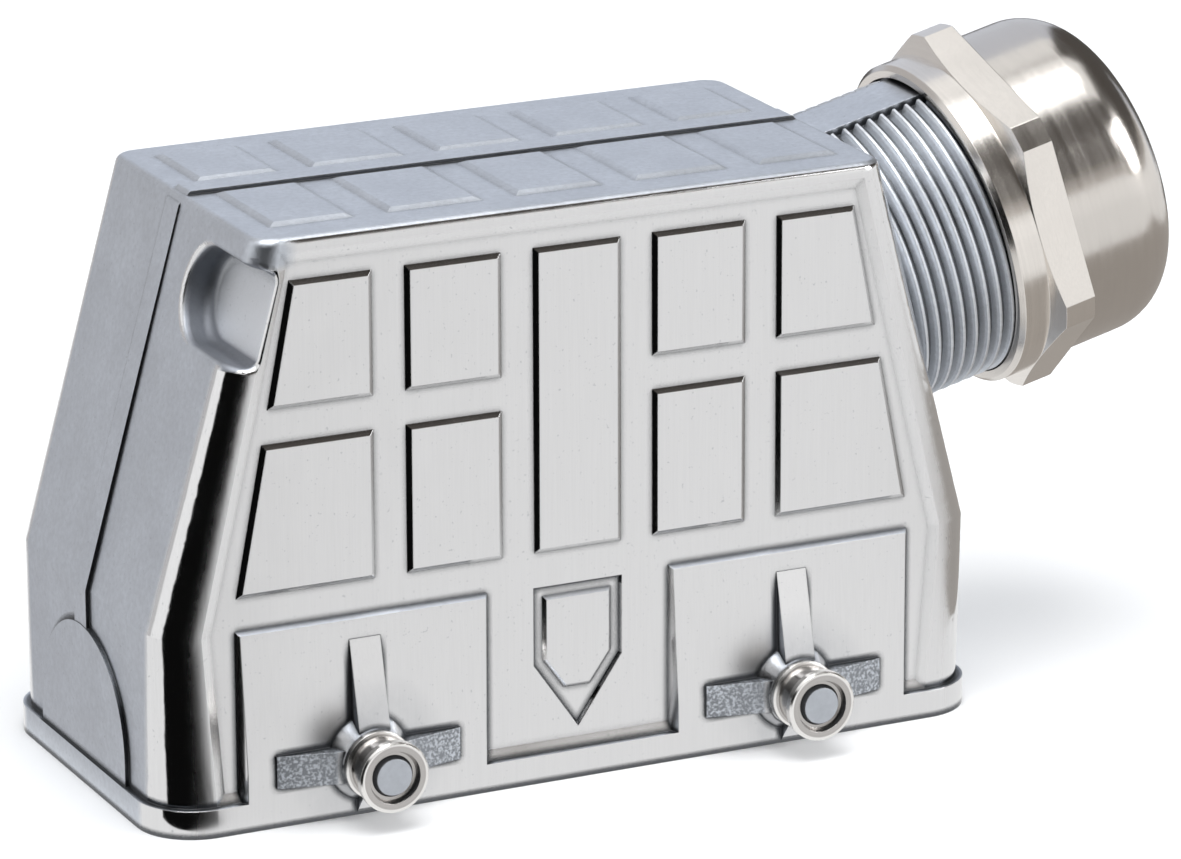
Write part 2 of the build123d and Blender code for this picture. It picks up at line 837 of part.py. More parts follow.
# Sixteen pin contacts, each with its box terminal
screw_outside = contact_rows / 2 + terminal_size / 2
with BuildPart() as contacts:
    with BuildSketch(Plane.XY.offset(contact_end)):
        with GridLocations(contact_pitch, contact_rows, contact_count, 2):
            Circle(contact_radius)
    extrude(amount=terminal_start - contact_end)
    chamfer(contacts.edges().group_by(Axis.Z)[0], contact_radius / 3)
    with BuildSketch(Plane.XY.offset(terminal_start)):
        with GridLocations(contact_pitch, contact_rows, contact_count, 2):
            Rectangle(terminal_size, terminal_size)
    extrude(amount=terminal_height)
    with BuildSketch(Plane.XY.offset(terminal_start + terminal_height)):
        with GridLocations(contact_pitch, contact_rows, contact_count, 2):
            Circle(wire_radius)
    extrude(amount=-wire_depth, mode=Mode.SUBTRACT)
    with BuildSketch(Plane.XZ):
        with Locations((0, terminal_screw_height)):
            with GridLocations(contact_pitch, 1, contact_count, 1):
                Circle(terminal_screw_radius + contact_clearance / 2)
    extrude(amount=screw_outside, both=True, mode=Mode.SUBTRACT)
contacts.part.label = "pin_contacts"
export_step(contacts.part, "parts/pin_contacts.step")

with BuildPart() as terminal_screws:
    for out in (-1, 1):
        head = Plane(
            origin=(0, out * (screw_outside + terminal_screw_length / 2), terminal_screw_height),
            x_dir=(1, 0, 0), z_dir=(0, out, 0),
        )
        with BuildSketch(head) as shanks:
            with GridLocations(contact_pitch, 1, contact_count, 1):
                Circle(terminal_screw_radius)
        extrude(shanks.sketch, amount=-terminal_screw_length)
        with BuildSketch(head) as slots:
            with GridLocations(contact_pitch, 1, contact_count, 1):
                Rectangle(2 * screwdriver_radius, slot_width)
        extrude(slots.sketch, amount=-slot_depth, mode=Mode.SUBTRACT)
terminal_screws.part.label = "terminal_screws"
export_step(terminal_screws.part, "parts/terminal_screws.step")

# Protective earth: a plate, a screw and a clamp block at each end of the flange
flange_bottom = insert_seat - flange_thickness
for side, hand in ((-1, "left"), (1, "right")):
    middle = side * earth_spacing / 2
    with BuildPart() as plate:
        with BuildSketch(Plane.XZ.offset(-earth_width / 2)):
            with BuildLine():
                edge = middle + side * earth_leg / 2
                inside = edge - side * earth_thickness
                outline = [
                    (middle - side * earth_leg / 2, flange_bottom), (edge, flange_bottom),
                    (edge, flange_bottom - earth_drop), (inside, flange_bottom - earth_drop),
                    (inside, flange_bottom - earth_thickness),
                    (middle - side * earth_leg / 2, flange_bottom - earth_thickness),
                ]
                Polyline(*anticlockwise(outline), close=True)
            make_face()
        extrude(amount=earth_width)
        with BuildSketch(Plane.XY.offset(flange_bottom)):
            with Locations((middle, 0)):
                Circle(earth_screw_radius + contact_clearance)
        extrude(amount=-earth_thickness, mode=Mode.SUBTRACT)
    plate.part.label = f"earth_plate_{hand}"
    export_step(plate.part, f"parts/earth_plate_{hand}.step")

with BuildPart() as earth_clamps:
    with BuildSketch(Plane.XY.offset(insert_seat)):
        with GridLocations(earth_spacing, 1, 2, 1):
            Rectangle(earth_clamp_size, earth_clamp_size)
            Circle(earth_screw_radius + contact_clearance / 2, mode=Mode.SUBTRACT)
    extrude(amount=earth_clamp_height)
earth_clamps.part.label = "earth_clamps"
export_step(earth_clamps.part, "parts/earth_clamps.step")


def slotted_screws(name, places, seat, shank_radius, shank_length, head_radius, head_height):
    """Screws that point up from a seat at the places given, with slotted heads below it."""
    with BuildPart() as screws:
        with BuildSketch(Plane.XY.offset(seat)) as shanks:
            with Locations(*places):
                Circle(shank_radius)
        extrude(shanks.sketch, amount=shank_length)
        with BuildSketch(Plane.XY.offset(seat)) as heads:
            with Locations(*places):
                Circle(head_radius)
        extrude(heads.sketch, amount=-head_height)
        fillet(screws.edges().group_by(Axis.Z)[0], head_height / 4)
        with BuildSketch(Plane.XY.offset(seat - head_height)) as slots:
            with Locations(*places):
                Rectangle(2 * head_radius, slot_width)
        extrude(slots.sketch, amount=slot_depth, mode=Mode.SUBTRACT)
    screws.part.label = name
    return screws.part


def pair(spacing):
    """Two places on the length, one towards each end."""
    return [(-spacing / 2, 0), (spacing / 2, 0)]


def four_corners(length, width):
    """Four places at the corners of a rectangle."""
    return [(x, y) for y in (-width / 2, width / 2) for x in (-length / 2, length / 2)]


earth_screws = slotted_screws(
    "earth_screws", pair(earth_spacing), flange_bottom - earth_thickness,
    earth_screw_radius, earth_screw_length, earth_head_radius, earth_head_height,
)
export_step(earth_screws, "parts/earth_screws.step")

fixing_seat = flange_bottom - washer_thickness
fixing_screws = slotted_screws(
    "fixing_screws", four_corners(fixing_length, fixing_width), fixing_seat,
    fixing_radius - contact_clearance,
    washer_thickness + flange_thickness + fixing_engagement - contact_clearance,
    fixing_head_radius, fixing_head_height,
)
export_step(fixing_screws, "parts/fixing_screws.step")

with BuildPart() as washers:
    with BuildSketch(Plane.XY.offset(fixing_seat)):
        with Locations(*four_corners(fixing_length, fixing_width)):
            Circle(washer_radius)
            Circle(fixing_radius, mode=Mode.SUBTRACT)
    extrude(amount=washer_thickness)
washers.part.label = "fixing_washers"
export_step(washers.part, "parts/fixing_washers.step")
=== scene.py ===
# %% [markdown]
# A heavy duty connector hood, seen the way a catalogue shows it: a long lens, a white table
# and soft boxes. The casting, the rollers and the gland nut come from the frame as exact solids.
# This lesson gives them their finishes and adds the one shape the frame leaves out, the thread.

from math import cos, pi, radians, sin, sqrt, tan

import bpy
import bmesh
from mathutils import Matrix, Vector


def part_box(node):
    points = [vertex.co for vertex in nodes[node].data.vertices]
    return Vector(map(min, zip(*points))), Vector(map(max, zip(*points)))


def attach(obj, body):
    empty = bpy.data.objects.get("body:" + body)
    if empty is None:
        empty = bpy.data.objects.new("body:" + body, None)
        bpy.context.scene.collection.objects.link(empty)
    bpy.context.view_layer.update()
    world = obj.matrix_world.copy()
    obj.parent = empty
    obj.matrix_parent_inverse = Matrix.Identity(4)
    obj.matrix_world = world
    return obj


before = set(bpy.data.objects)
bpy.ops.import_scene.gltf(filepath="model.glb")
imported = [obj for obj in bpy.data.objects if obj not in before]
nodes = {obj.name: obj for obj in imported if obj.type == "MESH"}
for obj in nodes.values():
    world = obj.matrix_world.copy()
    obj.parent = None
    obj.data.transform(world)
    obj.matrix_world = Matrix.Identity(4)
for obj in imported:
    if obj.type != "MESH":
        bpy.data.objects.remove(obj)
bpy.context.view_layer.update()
MM = 0.001

# %% [markdown]
# The camera stands to the left of the front and a little above. A long lens keeps parallel
# edges nearly parallel, as in the photograph. It is placed by angles from a point that it
# looks at, because angles can be read and changed more easily than a bare position.

# %% Camera
view_azimuth = radians(25.65)
view_elevation = radians(17.35)
view_roll = radians(-0.16)
aim = Vector((12.96, 3.63, 28.43)) * MM
camera_distance = 704.9 * MM
lens_pixels = 6689.0
photo_width = 1181

forward = Vector((
    sin(view_azimuth) * cos(view_elevation),
    cos(view_azimuth) * cos(view_elevation),
    -sin(view_elevation),
))
level_right = forward.cross(Vector((0, 0, 1))).normalized()
level_up = level_right.cross(forward)
right = level_right * cos(view_roll) + level_up * sin(view_roll)
up = level_up * cos(view_roll) - level_right * sin(view_roll)

camera_data = bpy.data.cameras.new("camera")
camera_data.sensor_width = 36
camera_data.lens = camera_data.sensor_width * lens_pixels / photo_width
camera_data.clip_start = 0.01
camera = bpy.data.objects.new("camera", camera_data)
bpy.context.scene.collection.objects.link(camera)
camera.matrix_world = Matrix((
    (right.x, up.x, -forward.x, 0),
    (right.y, up.y, -forward.y, 0),
    (right.z, up.z, -forward.z, 0),
    (0, 0, 0, 1),
))
camera.location = aim - forward * camera_distance
bpy.context.scene.camera = camera
print("lens:", round(camera_data.lens, 1), "mm")

# %% [markdown]
# Bare metal has no colour of its own: it shows what stands round it. So the studio matters as
# much as the finish. The table is white paper to the camera and takes a soft shadow. A mirror
# sees it as one even light instead, which keeps the metal clean. A Light Path node makes that
# choice inside one material, so the table stays a single piece.

# %% Table
def node_material(name):
    """New material with an empty node tree and an output."""
    material = bpy.data.materials.new(name)
    material.use_nodes = True
    tree = material.node_tree
    tree.nodes.clear()
    output = tree.nodes.new("ShaderNodeOutputMaterial")
    return material, tree, output


def table_material(paper_colour, mirrored_colour):
    """Paper to the camera, one plain glow in a mirror."""
    material, tree, output = node_material("white_table")
    paper = tree.nodes.new("ShaderNodeBsdfDiffuse")
    paper.inputs["Color"].default_value = (*paper_colour, 1)
    glow = tree.nodes.new("ShaderNodeEmission")
    glow.inputs["Color"].default_value = (*mirrored_colour, 1)
    paths = tree.nodes.new("ShaderNodeLightPath")
    choose = tree.nodes.new("ShaderNodeMixShader")
    tree.links.new(paths.outputs["Is Glossy Ray"], choose.inputs["Fac"])
    tree.links.new(paper.outputs[0], choose.inputs[1])
    tree.links.new(glow.outputs[0], choose.inputs[2])
    tree.links.new(choose.outputs[0], output.inputs["Surface"])
    return material


def flat_mesh(name, corners, material):
    """Mesh of one flat face from its corners in millimetres."""
    mesh = bpy.data.meshes.new(name)
    mesh.from_pydata([Vector(corner) * MM for corner in corners], [], [tuple(range(len(corners)))])
    mesh.materials.append(material)
    return mesh


table_half = 1500
table_corners = [(i * table_half, j * table_half, 0) for i, j in ((-1, -1), (1, -1), (1, 1), (-1, 1))]
table_paper = table_material((0.93, 0.93, 0.93), (0.92, 0.92, 0.92))
table = bpy.data.objects.new("table", flat_mesh("table", table_corners, table_paper))
bpy.context.scene.collection.objects.link(table)
print("table:", 2 * table_half, "mm wide")

# %% [markdown]
# In the photograph the metal shows dark and grey stripes, as from boards around the set. Cards
# stand in for them. Only mirrors see a card: it throws no shadow, and the camera looks through
# it. Each card's place was found by following the line of sight to the metal and off it again,
# which is surer than moving boards by eye.

# %% Card helpers
def glow_material(name, colour):
    """Surface that shows a plain colour whatever light falls on it."""
    material, tree, output = node_material(name)
    glow = tree.nodes.new("ShaderNodeEmission")
    glow.inputs["Color"].default_value = (*colour, 1)
    tree.links.new(glow.outputs[0], output.inputs["Surface"])
    return material


def card(name, corners, material):
    """Flat studio card from its corners: mirrors show it, the camera and the shadows do not."""
    piece = bpy.data.objects.new(name, flat_mesh(name, corners, material))
    bpy.context.scene.collection.objects.link(piece)
    piece.visible_camera = False
    piece.visible_shadow = False
    piece.visible_diffuse = False
    piece.visible_transmission = False
    cards.append(name)


def lying_card(name, outline, height, material):
    """Card parallel to the table, from its outline."""
    card(name, [(x, y, height) for x, y in outline], material)


def standing_card(name, start, end, low, high, material):
    """Upright card over a line on the table, from one height to another."""
    card(name, [(*start, low), (*end, low), (*end, high), (*start, high)], material)


cards = []
black_card = glow_material("black_card", (0.004, 0.004, 0.004))
dark_card = glow_material("dark_card", (0.08, 0.072, 0.065))
middle_card = glow_material("middle_card", (0.40, 0.375, 0.35))
plain_card = glow_material("plain_card", (0.585, 0.575, 0.58))
blue_card = glow_material("blue_card", (0.66, 0.69, 0.76))
card_colours = [material.name for material in bpy.data.materials if material.name.endswith("_card")]
print("card colours:", card_colours)

# %% [markdown]
# Black to the front left gives the black stripe in the round front corner. One card lies on the
# table up to the foot of the hood, and two stand on its far edges. The edge that runs away from
# the hood's corner sets where the stripe starts, so it is a straight line from there.

# %% Black cards
on_table = 0.5
black_height = 260
black_start = (3, -320)
black_corner = (-340, -320)
black_end = (-340, -45)
at_foot_front = (-39, -24)
at_foot_left = (-50, -19.5)
lying_card(
    "black_lying", [at_foot_front, black_start, black_corner, black_end, at_foot_left], on_table, black_card,
)
standing_card("black_front", black_start, black_corner, 0, black_height, black_card)
standing_card("black_left", black_corner, black_end, 0, black_height, black_card)
print("cards so far:", len(cards))

# %% [markdown]
# Dark boards in front and to the right, above eye level, give the cap its dark band and the
# panels their dark upper walls. A grey strip under them softens the lower edge of that band. Dark
# cards behind give the nut its dark edge, and a grey one on the table its shaded underside. One
# dark card hangs high up, behind and to the left, for the edges that face up and to the left.

# %% Dark and grey cards
front_left, front_right, back_right = (-60, -600), (900, -600), (900, 260)
grey_from, dark_from, dark_to = 190, 290, 1500
standing_card("dark_front", front_left, front_right, dark_from, dark_to, dark_card)
standing_card("dark_right", front_right, back_right, dark_from, dark_to, dark_card)
standing_card("middle_front", front_left, front_right, grey_from, dark_from, middle_card)
standing_card("middle_right", front_right, back_right, grey_from, dark_from, middle_card)

edge_y, edge_left, edge_step, edge_right = 255, 245, 520, 900
step_height, edge_height = 250, 1100
dark_edge_outline = [
    (edge_left, on_table), (edge_step, on_table), (edge_step, step_height),
    (edge_right, step_height), (edge_right, edge_height), (edge_left, edge_height),
]
card("dark_edge", [(x, edge_y, z) for x, z in dark_edge_outline], dark_card)
low_height, lying_height, above_height = 60, 0.8, 700
standing_card("dark_low", (60, 250), (edge_left, 250), on_table, low_height, dark_card)
lying_card("dark_lying", [(120, 130), (330, 130), (330, 250), (120, 250)], lying_height, dark_card)
lying_card("under_nut", [(70, -24), (85, -90), (260, -90), (260, 240), (70, 240)], on_table, middle_card)
lying_card("dark_above", [(-500, 100), (0, 100), (0, 700), (-500, 700)], above_height, dark_card)
print("cards so far:", len(cards))

# %% [markdown]
# The dull skin of the casting mirrors only a blurred patch of what is behind the part. A plain
# grey there suits the leaning end, and a bluer grey the top, which is what tells the two apart
# in the photograph.

# %% Grey cards behind
behind_left, behind_middle, behind_right = (-500, 260), (0, 260), (700, 260)
behind_height = 420
lying_card("plain_lying", [(-49, -12), (-255, 255), (-49, 255)], on_table, plain_card)
standing_card("plain_behind", behind_left, behind_middle, 0, behind_height, plain_card)
standing_card("blue_behind", behind_middle, behind_right, 0, behind_height, blue_card)
print("cards in all:", len(cards))

# %% [markdown]
# The room is a world colour and no walls. To the camera and in mirrors it is plain white, so the
# background stays white. As light it is a little weaker and cooler, which keeps soft shadows.

# %% Room
world = bpy.data.worlds.new("pale_room")
bpy.context.scene.world = world
world.use_nodes = True
room = world.node_tree
room.nodes.clear()
room_output = room.nodes.new("ShaderNodeOutputWorld")
shown = room.nodes.new("ShaderNodeBackground")
shown.inputs["Color"].default_value = (1, 1, 1, 1)
shown.inputs["Strength"].default_value = 1.0
lighting = room.nodes.new("ShaderNodeBackground")
lighting.inputs["Color"].default_value = (0.93, 0.96, 1.0, 1)
lighting.inputs["Strength"].default_value = 0.75
paths = room.nodes.new("ShaderNodeLightPath")
white_for = paths.outputs["Is Camera Ray"]
for other in ("Is Transmission Ray", "Is Glossy Ray"):
    either = room.nodes.new("ShaderNodeMath")
    either.operation = "MAXIMUM"
    room.links.new(white_for, either.inputs[0])
    room.links.new(paths.outputs[other], either.inputs[1])
    white_for = either.outputs[0]
choose = room.nodes.new("ShaderNodeMixShader")
room.links.new(white_for, choose.inputs["Fac"])
room.links.new(lighting.outputs[0], choose.inputs[1])
room.links.new(shown.outputs[0], choose.inputs[2])
room.links.new(choose.outputs[0], room_output.inputs["Surface"])
print("room light:", lighting.inputs["Strength"].default_value)

# %% [markdown]
# Two soft boxes add the gentle falloff on the paper and on the dull skin. They are kept at a
# plain level, so that the colours stay those of the finishes. The Standard view shows them as
# they are, where a film-like view would grey the white.

# %% Soft boxes
def soft_box(name, place, target, size, power):
    """Square soft box that faces a point; places in millimetres, size in metres, power in watts."""
    light = bpy.data.lights.new(name, "AREA")
    light.shape = "SQUARE"
    light.size = size
    light.energy = power
    lamp = bpy.data.objects.new(name, light)
    bpy.context.scene.collection.objects.link(lamp)
    lamp.location = Vector(place) * MM
    aim_at = Vector(target) * MM - lamp.location
    lamp.rotation_euler = aim_at.to_track_quat("-Z", "Y").to_euler()


soft_box("soft_box_top", (-100, -150, 900), (0, 0, 20), 0.6, 5.0)
soft_box("soft_box_right", (600, -500, 420), (20, 0, 30), 0.4, 3.0)
bpy.context.scene.view_settings.view_transform = "Standard"
print("soft boxes:", len(bpy.data.lights))

# %% [markdown]
# Every finish here is a node tree on the Principled shader. The helpers below keep the trees
# short: one adds a node with its settings, one makes a noise in the object's own millimetres,
# and the others do the sums between them.

# %% Node helpers
def add_node(tree, kind, inputs=None, **settings):
    """Node of a kind, with settings as attributes and default values by input name."""
    node = tree.nodes.new(kind)
    for key, value in settings.items():
        setattr(node, key, value)
    for key, value in (inputs or {}).items():
        node.inputs[key].default_value = value
    return node


def feed(tree, socket, value):
    """Link a socket to another one, or give it a fixed value."""
    if isinstance(value, bpy.types.NodeSocket):
        tree.links.new(value, socket)
    else:
        socket.default_value = value


def maths(tree, operation, first, second=0.0):
    """Maths node on two values, each a socket or a number."""
    node = add_node(tree, "ShaderNodeMath", operation=operation)
    feed(tree, node.inputs[0], first)
    feed(tree, node.inputs[1], second)
    return node.outputs[0]


def between(tree, value, low, high, to_low=0.0, to_high=1.0):
    """Value mapped from one range to another and held inside it."""
    ramp = add_node(tree, "ShaderNodeMapRange", {
        "From Min": low, "From Max": high, "To Min": to_low, "To Max": to_high,
    })
    tree.links.new(value, ramp.inputs["Value"])
    return ramp.outputs["Result"]


print("helpers: add_node, feed, maths, between")

# %% [markdown]
# Texture and colour come next. A noise is stretched by a Mapping node, so the same helper gives
# clouds, pits and fine upright grain. Bumps are given in millimetres, as a depth that can be
# compared with the real surface.

# %% Texture helpers
def noise(tree, coordinates, scale, detail=4.0, roughness=0.6, stretch=(1, 1, 1)):
    """Noise in object space; scale is cycles per millimetre, stretch scales each axis."""
    mapping = add_node(tree, "ShaderNodeMapping")
    mapping.inputs["Scale"].default_value = [scale * s / MM for s in stretch]
    tree.links.new(coordinates, mapping.inputs["Vector"])
    texture = add_node(tree, "ShaderNodeTexNoise", {"Scale": 1.0, "Detail": detail, "Roughness": roughness})
    tree.links.new(mapping.outputs[0], texture.inputs["Vector"])
    return texture.outputs["Fac"]


def shade(colour, share):
    """A colour made darker or lighter by a share."""
    return tuple(share * part for part in colour)


def mix_colour(tree, factor, first, second):
    """Blend of two colours, each a socket or a tuple."""
    node = add_node(tree, "ShaderNodeMix", data_type="RGBA")
    tree.links.new(factor, node.inputs["Factor"])
    for name, value in (("A", first), ("B", second)):
        feed(tree, node.inputs[name], (*value, 1) if isinstance(value, tuple) else value)
    return node.outputs["Result"]


def bump(tree, height, distance, strength, normal):
    """Bump of a height in millimetres on top of another normal."""
    node = add_node(tree, "ShaderNodeBump", {"Strength": strength, "Distance": distance * MM})
    tree.links.new(height, node.inputs["Height"])
    tree.links.new(normal, node.inputs["Normal"])
    return node.outputs["Normal"]


def surface(tree, output, colour, shine, normal, metallic=1.0):
    """Principled surface from a colour, a roughness and a normal."""
    shader = add_node(tree, "ShaderNodeBsdfPrincipled", {"Metallic": metallic})
    tree.links.new(colour, shader.inputs["Base Color"])
    tree.links.new(shine, shader.inputs["Roughness"])
    tree.links.new(normal, shader.inputs["Normal"])
    tree.links.new(shader.outputs[0], output.inputs["Surface"])


def dress(name, material):
    """One material on a frame node, in place of what it came with."""
    mesh = nodes[name].data
    mesh.materials.clear()
    mesh.materials.append(material)


print("helpers: noise, shade, mix_colour, bump, surface, dress")

# %% [markdown]
# The hood is a zinc die casting with a thin nickel coat, and it isn't equally bright all over.
# Some places keep the dull skin of the mould. They are found by their position on the part, in
# millimetres, because a painted mask would need an image. A mask is 1 inside its place and 0
# outside, and masks are joined by taking the largest or the product.

# %% Masks by position
end_slope = radians(15.5)
bend_height = 20.9
body_half = 46.0
side_face = 21.5
peg_half_spacing = 24.07
peg_height = 5.95
notch_middle = 53.5
notch_half_height = 5.6
peened_start = side_face + 6.0


def inside(tree, value, low, high, blend):
    """1 where a value lies between two limits, 0 outside, with soft ends."""
    above = between(tree, value, low - blend, low)
    below = between(tree, value, high, high + blend, 1.0, 0.0)
    return maths(tree, "MULTIPLY", above, below)


def either_of(tree, first, *others):
    """The largest of some masks."""
    for other in others:
        first = maths(tree, "MAXIMUM", first, other)
    return first


def both_of(tree, first, *others):
    """The product of some masks."""
    for other in others:
        first = maths(tree, "MULTIPLY", first, other)
    return first


def lean_at(tree, z):
    """How far the leaning end has moved inward at a height."""
    over_bend = maths(tree, "MAXIMUM", maths(tree, "SUBTRACT", z, bend_height), 0.0)
    return maths(tree, "MULTIPLY", over_bend, tan(end_slope))


print("ends lean by", round(tan(end_slope), 3), "mm per mm above", bend_height, "mm")

# %% [markdown]
# Four kinds of place stand out on the real casting. The outlet, the peened ends of the pegs and
# the corner over the thumb notch are dull. The inside of the notch is matt and pale, and its wall
# is painted dark as shade. The cut faces of the side ribs are the darkest and coarsest. Around
# each peg boss the metal gets painted shade.

# %% Places on the casting
def dull_places(tree, x, y, z):
    """Outlet, peened peg ends and the corner over the notch."""
    peened = between(tree, maths(tree, "ABSOLUTE", y), peened_start - 0.1, peened_start + 0.1)
    outlet = between(tree, maths(tree, "ADD", x, lean_at(tree, z)), body_half + 0.6, body_half + 0.9)
    over_notch = both_of(
        tree,
        between(tree, z, 57.6, 58.4),
        between(tree, x, -32.0, -30.5, 1.0, 0.0),
        between(tree, y, -17.0, -16.5, 1.0, 0.0),
    )
    return either_of(tree, peened, outlet, over_notch)


def notch_place(tree, x, y, z):
    """Inside of the thumb notch, by its depth below the leaning end."""
    depth = maths(tree, "SUBTRACT", maths(tree, "ADD", x, body_half), lean_at(tree, z))
    return both_of(
        tree,
        between(tree, depth, 0.15, 0.45),
        between(tree, x, -31.5, -31.0, 1.0, 0.0),
        inside(tree, z, notch_middle - notch_half_height, notch_middle + notch_half_height, 0.1),
        inside(tree, y, -20.0, 0.0, 0.15),
    )


def paint_boss_shade(tree, x, z):
    """Strength of the painted shade around the peg bosses: 1 at the peg, 0 from 9 mm out."""
    beside = maths(tree, "SUBTRACT", maths(tree, "ABSOLUTE", x), peg_half_spacing)
    higher = maths(tree, "SUBTRACT", z, peg_height)
    squares = maths(
        tree, "ADD", maths(tree, "MULTIPLY", beside, beside), maths(tree, "MULTIPLY", higher, higher),
    )
    return between(tree, maths(tree, "SQRT", squares), 3.5, 9.0, 1.0, 0.0)


def rib_faces(tree, x, y, z):
    """Cut faces of the side ribs."""
    beside = maths(tree, "SUBTRACT", maths(tree, "ABSOLUTE", x), peg_half_spacing)
    return both_of(
        tree,
        between(tree, maths(tree, "ABSOLUTE", y), side_face + 0.05, side_face + 0.15),
        between(tree, maths(tree, "ABSOLUTE", beside), 3.9, 4.3),
        inside(tree, z, 4.0, 7.9, 0.1),
    )


print("places: dull, notch, stain, ribs")

# %% [markdown]
# The rest of the choice is made by which way the surface faces. The long sides came off smooth
# steel and are satin. The ends and the top keep the dull skin. What is left is the round corners
# and the sloped walls, which are polished by tumbling and mirror the studio sharply.

# %% Regions of the casting
def casting_regions(tree, place, everywhere_dull):
    """Masks of the casting's finishes, by name."""
    millimetres = add_node(tree, "ShaderNodeVectorMath", {"Scale": 1 / MM}, operation="SCALE")
    tree.links.new(place, millimetres.inputs[0])
    position = add_node(tree, "ShaderNodeSeparateXYZ")
    tree.links.new(millimetres.outputs[0], position.inputs[0])
    x, y, z = position.outputs
    facing = add_node(tree, "ShaderNodeSeparateXYZ")
    tree.links.new(add_node(tree, "ShaderNodeNewGeometry").outputs["Normal"], facing.inputs[0])
    lengthways = maths(tree, "ABSOLUTE", facing.outputs["X"])
    sideways = maths(tree, "ABSOLUTE", facing.outputs["Y"])

    flat_side = between(tree, sideways, 0.86, 0.97)
    square_on = between(tree, sideways, 0.07, 0.18, 1.0, 0.0)
    flat_end = maths(tree, "MULTIPLY", square_on, between(tree, lengthways, 0.5, 0.7))
    flat_top = between(tree, facing.outputs["Z"], 0.62, 0.75)
    ribs = rib_faces(tree, x, y, z)
    notch = notch_place(tree, x, y, z)
    dull = either_of(tree, flat_end, flat_top, ribs, notch, dull_places(tree, x, y, z))
    if everywhere_dull:
        dull = maths(tree, "MAXIMUM", dull, 1.0)
    smooth = maths(tree, "MULTIPLY", flat_side, maths(tree, "SUBTRACT", 1.0, dull))
    polished = maths(tree, "SUBTRACT", 1.0, maths(tree, "MAXIMUM", smooth, dull))
    notch_floor = maths(tree, "MULTIPLY", notch, between(tree, lengthways, 0.80, 0.95))
    return {
        "dull": dull, "smooth": smooth, "polished": polished, "ribs": ribs, "notch": notch,
        "notch_floor": notch_floor, "notch_wall": maths(tree, "SUBTRACT", notch, notch_floor),
        "boss_shade": paint_boss_shade(tree, x, z),
    }


print("regions: dull, smooth, polished, ribs, notch, stain")

# %% [markdown]
# Colour is built up in layers. First come the two base tones, clouded and grained. The speckled
# ribs, the notch with its wall painted dark as shade, the painted shade around the bosses and a
# few pits follow. Last, an Ambient Occlusion node paints shade into the creases: it gives each
# panel its thin dark outline, and is looked up close to the surface only, so the flat faces stay
# clear of it.

# %% Colour of the casting
notch_floor_colour = (0.92, 0.94, 0.97)
# The notch wall's dark colour is painted shade in the recess.
notch_wall_shade_colour = (0.20, 0.21, 0.24)
# How far the painted crease shade looks for nearby surfaces.
crease_shade_reach = 0.8 * MM


def base_tones(tree, regions, cloud, mottle, grain, dull_colour, smooth_colour):
    """Dull skin and smooth sides, before wear."""
    dull = mix_colour(tree, between(tree, cloud, 0.35, 0.65), dull_colour, shade(dull_colour, 1.10))
    dull = mix_colour(tree, between(tree, mottle, 0.3, 0.75, 0.0, 0.6), dull, shade(dull_colour, 0.80))
    grained = between(tree, grain, 0.3, 0.7, 0.0, 0.5)
    smooth = mix_colour(tree, grained, smooth_colour, shade(smooth_colour, 0.93))
    return mix_colour(tree, regions["dull"], smooth, dull)


def wear_and_painted_shade(tree, regions, place, cloud, colour, dull_colour):
    """Speckled ribs, notch with its wall painted dark as shade, painted shade around the bosses and pits, on
    top of a colour.
    """
    flecks = between(tree, noise(tree, place, 3.2, detail=2.0), 0.45, 0.62)
    speckled = mix_colour(tree, flecks, shade(dull_colour, 0.42), dull_colour)
    colour = mix_colour(tree, regions["ribs"], colour, speckled)
    floor_share = maths(tree, "MULTIPLY", regions["notch_floor"], 0.8)
    colour = mix_colour(tree, floor_share, colour, notch_floor_colour)
    # The wall of the notch is painted dark as shade.
    wall_shade_share = maths(tree, "MULTIPLY", regions["notch_wall"], 0.7)
    colour = mix_colour(tree, wall_shade_share, colour, notch_wall_shade_colour)
    # Painted shade around the peg bosses, clouded, where the rollers shade the pads.
    boss_shade = maths(tree, "MULTIPLY", regions["boss_shade"], between(tree, cloud, 0.3, 0.6, 0.15, 0.5))
    colour = mix_colour(tree, boss_shade, colour, shade(dull_colour, 0.55))
    pits = between(tree, noise(tree, place, 2.6, detail=1.0), 0.70, 0.78)
    return mix_colour(tree, maths(tree, "MULTIPLY", pits, 0.35), colour, shade(dull_colour, 0.5))


def paint_crease_shade(tree, colour, dark_colour, depth):
    """Painted shade as a dark outline in the creases; depth is how much of it there is."""
    corners = add_node(tree, "ShaderNodeAmbientOcclusion", {"Distance": crease_shade_reach}, samples=6)
    crease_shade = between(tree, corners.outputs["AO"], 0.84, 0.985, depth, 0.0)
    return mix_colour(tree, crease_shade, colour, dark_colour)


print("creases reach", crease_shade_reach / MM, "mm")

# %% [markdown]
# The whole material puts the regions, the colour, the roughness and the bumps together. The
# roughness is one number per region with a little cloud on it. A Bevel node rounds the sharp
# edges of the solid by 0.15 mm in the shading alone, which gives each one a glint and leaves
# the mesh as it is.

# %% Nickel-plated casting
smooth_roughness = 0.30
dull_roughness = 0.42
polished_roughness = 0.09
extra_in_notch = 0.16


